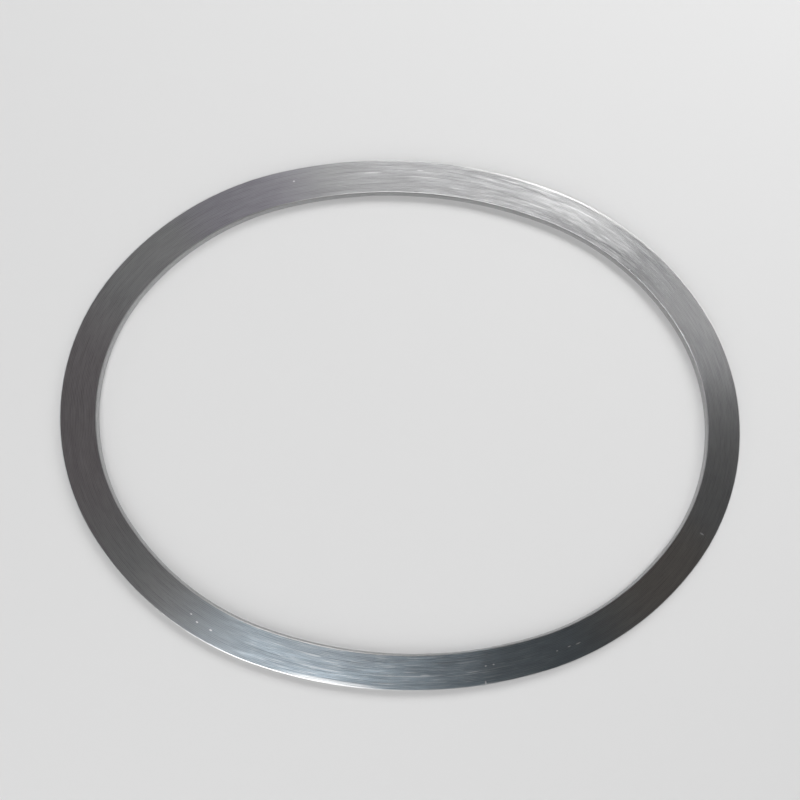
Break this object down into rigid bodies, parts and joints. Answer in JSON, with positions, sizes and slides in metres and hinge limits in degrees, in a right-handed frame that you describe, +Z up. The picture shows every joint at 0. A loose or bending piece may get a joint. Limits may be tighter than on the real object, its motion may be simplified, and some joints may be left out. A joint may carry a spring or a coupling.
{
  "type": "oval spiral wound gasket",
  "caption": "Flat oval gasket wound from a V-shaped metal strip and a graphite strip on edge, with a large oval opening, for sealing a manway cover.",
  "frame": {"origin": "centre of the oval on the underside, so the gasket lies on the plane Z = 0", "axes": "+X along the long axis of the oval, +Y along its short axis, +Z up through the thickness"},
  "size_m": [0.4678, 0.3678, 0.0045],
  "materials": {
    "metal_strip": "bare stainless steel strip, edge on, with a lengthwise grain",
    "graphite_filler": "grey flexible graphite with a satin sheen"
  },
  "bodies": {
    "root": {"metal_strip": "metal_strip", "graphite_filler": "graphite_filler"}
  },
  "joints": []
}
